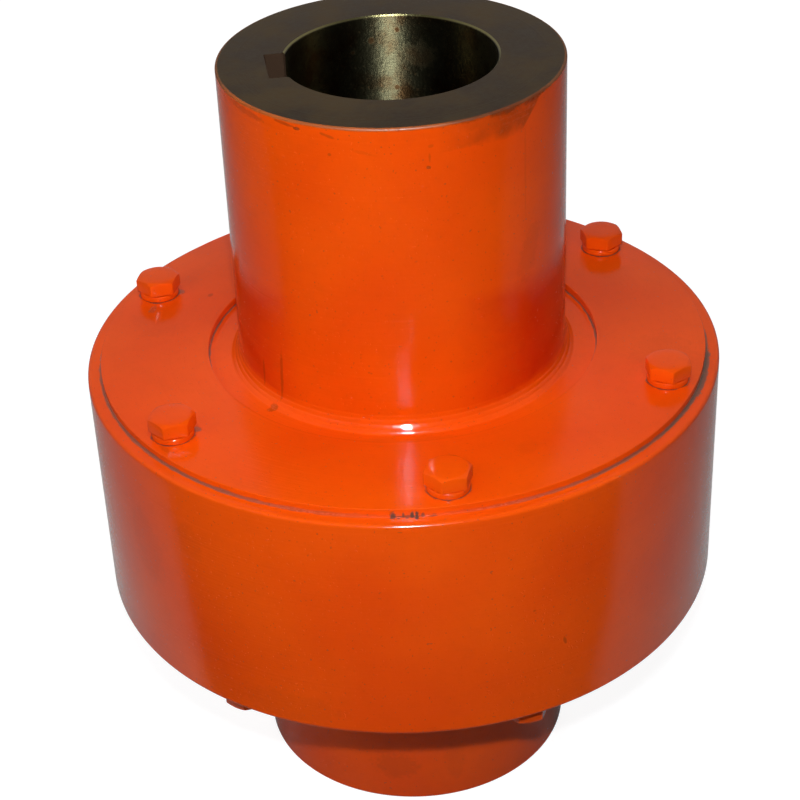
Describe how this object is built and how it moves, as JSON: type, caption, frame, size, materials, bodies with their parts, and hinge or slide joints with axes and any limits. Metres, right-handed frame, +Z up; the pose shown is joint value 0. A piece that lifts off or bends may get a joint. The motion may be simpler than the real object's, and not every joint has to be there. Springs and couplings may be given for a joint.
{
  "type": "elastic pin gear coupling",
  "caption": "Shaft coupling: two bored and keyed half couplings whose grooved flanges sit in one outer sleeve, driven through loose nylon pins between bolted retaining plates.",
  "frame": {"origin": "centre of the lower hub's end face, on the shaft axis and on the surface the coupling stands on", "axes": "+Z up along the shaft axis, from the lower half coupling to the upper one; both keyways lie on the -X side"},
  "size_m": [0.158, 0.158, 0.194],
  "materials": {
    "hub_paint": "glossy sprayed enamel, bare machined end face and bore",
    "sleeve_paint": "glossy sprayed enamel",
    "plate_paint": "glossy sprayed enamel",
    "fastener_paint": "glossy sprayed enamel",
    "nylon": "turned cast nylon"
  },
  "bodies": {
    "lower_half": {"lower_hub": "hub_paint"},
    "upper_half": {"upper_hub": "hub_paint"},
    "upper_pin_row": {"upper_pin_01": "nylon", "upper_pin_02": "nylon", "upper_pin_03": "nylon", "upper_pin_04": "nylon", "upper_pin_05": "nylon", "upper_pin_06": "nylon", "upper_pin_07": "nylon", "upper_pin_08": "nylon", "upper_pin_09": "nylon", "upper_pin_10": "nylon", "upper_pin_11": "nylon", "upper_pin_12": "nylon"},
    "sleeve_assembly": {"outer_sleeve": "sleeve_paint", "lower_plate": "plate_paint", "upper_plate": "plate_paint", "lower_bolts": "fastener_paint", "upper_bolts": "fastener_paint", "lower_spring_washers": "fastener_paint", "upper_spring_washers": "fastener_paint", "lower_pin_01": "nylon", "lower_pin_02": "nylon", "lower_pin_03": "nylon", "lower_pin_04": "nylon", "lower_pin_05": "nylon", "lower_pin_06": "nylon", "lower_pin_07": "nylon", "lower_pin_08": "nylon", "lower_pin_09": "nylon", "lower_pin_10": "nylon", "lower_pin_11": "nylon", "lower_pin_12": "nylon"}
  },
  "joints": [
    {"name": "upper_half_float", "type": "slide", "parent": "lower_half", "child": "upper_half", "axis": [0, 0, 1], "range_m": [0, 0.002]},
    {"name": "sleeve_float", "type": "slide", "parent": "upper_half", "child": "upper_pin_row", "axis": [0, 0, 1], "range_m": [0, 0.002]},
    {"name": "sleeve_twist_play", "type": "hinge", "parent": "upper_pin_row", "child": "sleeve_assembly", "pos_m": [0, 0, 0.08675], "axis": [0, 0, 1], "range_deg": [-0.25, 0.25]}
  ]
}
